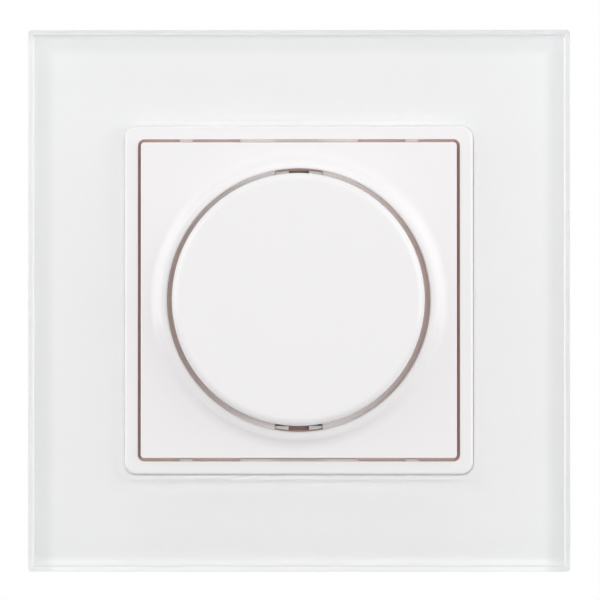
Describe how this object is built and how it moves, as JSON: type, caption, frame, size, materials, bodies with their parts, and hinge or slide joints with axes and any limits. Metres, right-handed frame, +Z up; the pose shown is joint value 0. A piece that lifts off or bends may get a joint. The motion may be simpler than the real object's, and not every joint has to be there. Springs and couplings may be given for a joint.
{
  "type": "rotary control panel",
  "caption": "Square glass wall panel with a raised bezel, a centre plate and a flat round knob that turns without end and clicks in, on a module for a round wall box.",
  "frame": {"origin": "centre of the panel on the wall plane, which is the back face of the support plate", "axes": "+Z up, +X right for someone in front of the panel, +Y into the wall, so the knob faces -Y"},
  "size_m": [0.086, 0.0368, 0.086],
  "materials": {
    "painted_glass": "polished, painted white on the back",
    "tape": "matt foam",
    "carrier_plastic": "fine texture",
    "white_plastic": "satin",
    "grey_plastic": "fine texture",
    "black_plastic": "satin",
    "dark_plastic": "satin",
    "board": "solder mask",
    "sheet_steel": "zinc plated",
    "spring_steel": "bright",
    "screw_steel": "zinc plated",
    "zinc": "die cast",
    "shaft_metal": "turned",
    "brass": "tinned edges",
    "can": "sleeved"
  },
  "bodies": {
    "panel": {"glass_frame": "painted_glass", "bonding_tape": "tape", "frame_carrier": "carrier_plastic", "bezel_ring": "white_plastic", "centre_plate": "white_plastic", "module_front": "grey_plastic", "support_plate": "sheet_steel", "module_rear": "grey_plastic", "housing_screws": "screw_steel", "encoder_bushing": "zinc", "encoder_bracket": "sheet_steel", "encoder_base": "black_plastic", "detent_spring": "spring_steel", "encoder_pins": "brass", "encoder_washer": "sheet_steel", "encoder_nut": "zinc", "switch_dome": "spring_steel", "control_board": "board", "board_screws": "screw_steel", "terminal_block": "dark_plastic", "terminal_cages": "brass", "terminal_screws": "screw_steel", "radio_board": "board", "radio_shield": "sheet_steel", "power_converter": "black_plastic", "capacitor": "can"},
    "rotor": {"encoder_rotor": "black_plastic"},
    "knob": {"knob": "white_plastic", "knob_clip": "spring_steel", "encoder_shaft": "shaft_metal"},
    "plunger": {"switch_plunger": "black_plastic"}
  },
  "joints": [
    {"name": "knob_turn", "type": "hinge", "parent": "panel", "child": "rotor", "pos_m": [0, 0, 0], "axis": [0, 1, 0], "continuous": true, "deforming": ["detent_spring"]},
    {"name": "knob_press", "type": "slide", "parent": "rotor", "child": "knob", "axis": [0, 1, 0], "range_m": [0, 0.0005], "stiffness_N_per_m": 2000, "deforming": ["switch_dome"]},
    {"name": "plunger_press", "type": "slide", "parent": "panel", "child": "plunger", "axis": [0, 1, 0], "range_m": [0, 0.0005]}
  ],
  "couplings": [
    {"joint": "plunger_press", "follows": "knob_press", "ratio": 1}
  ]
}
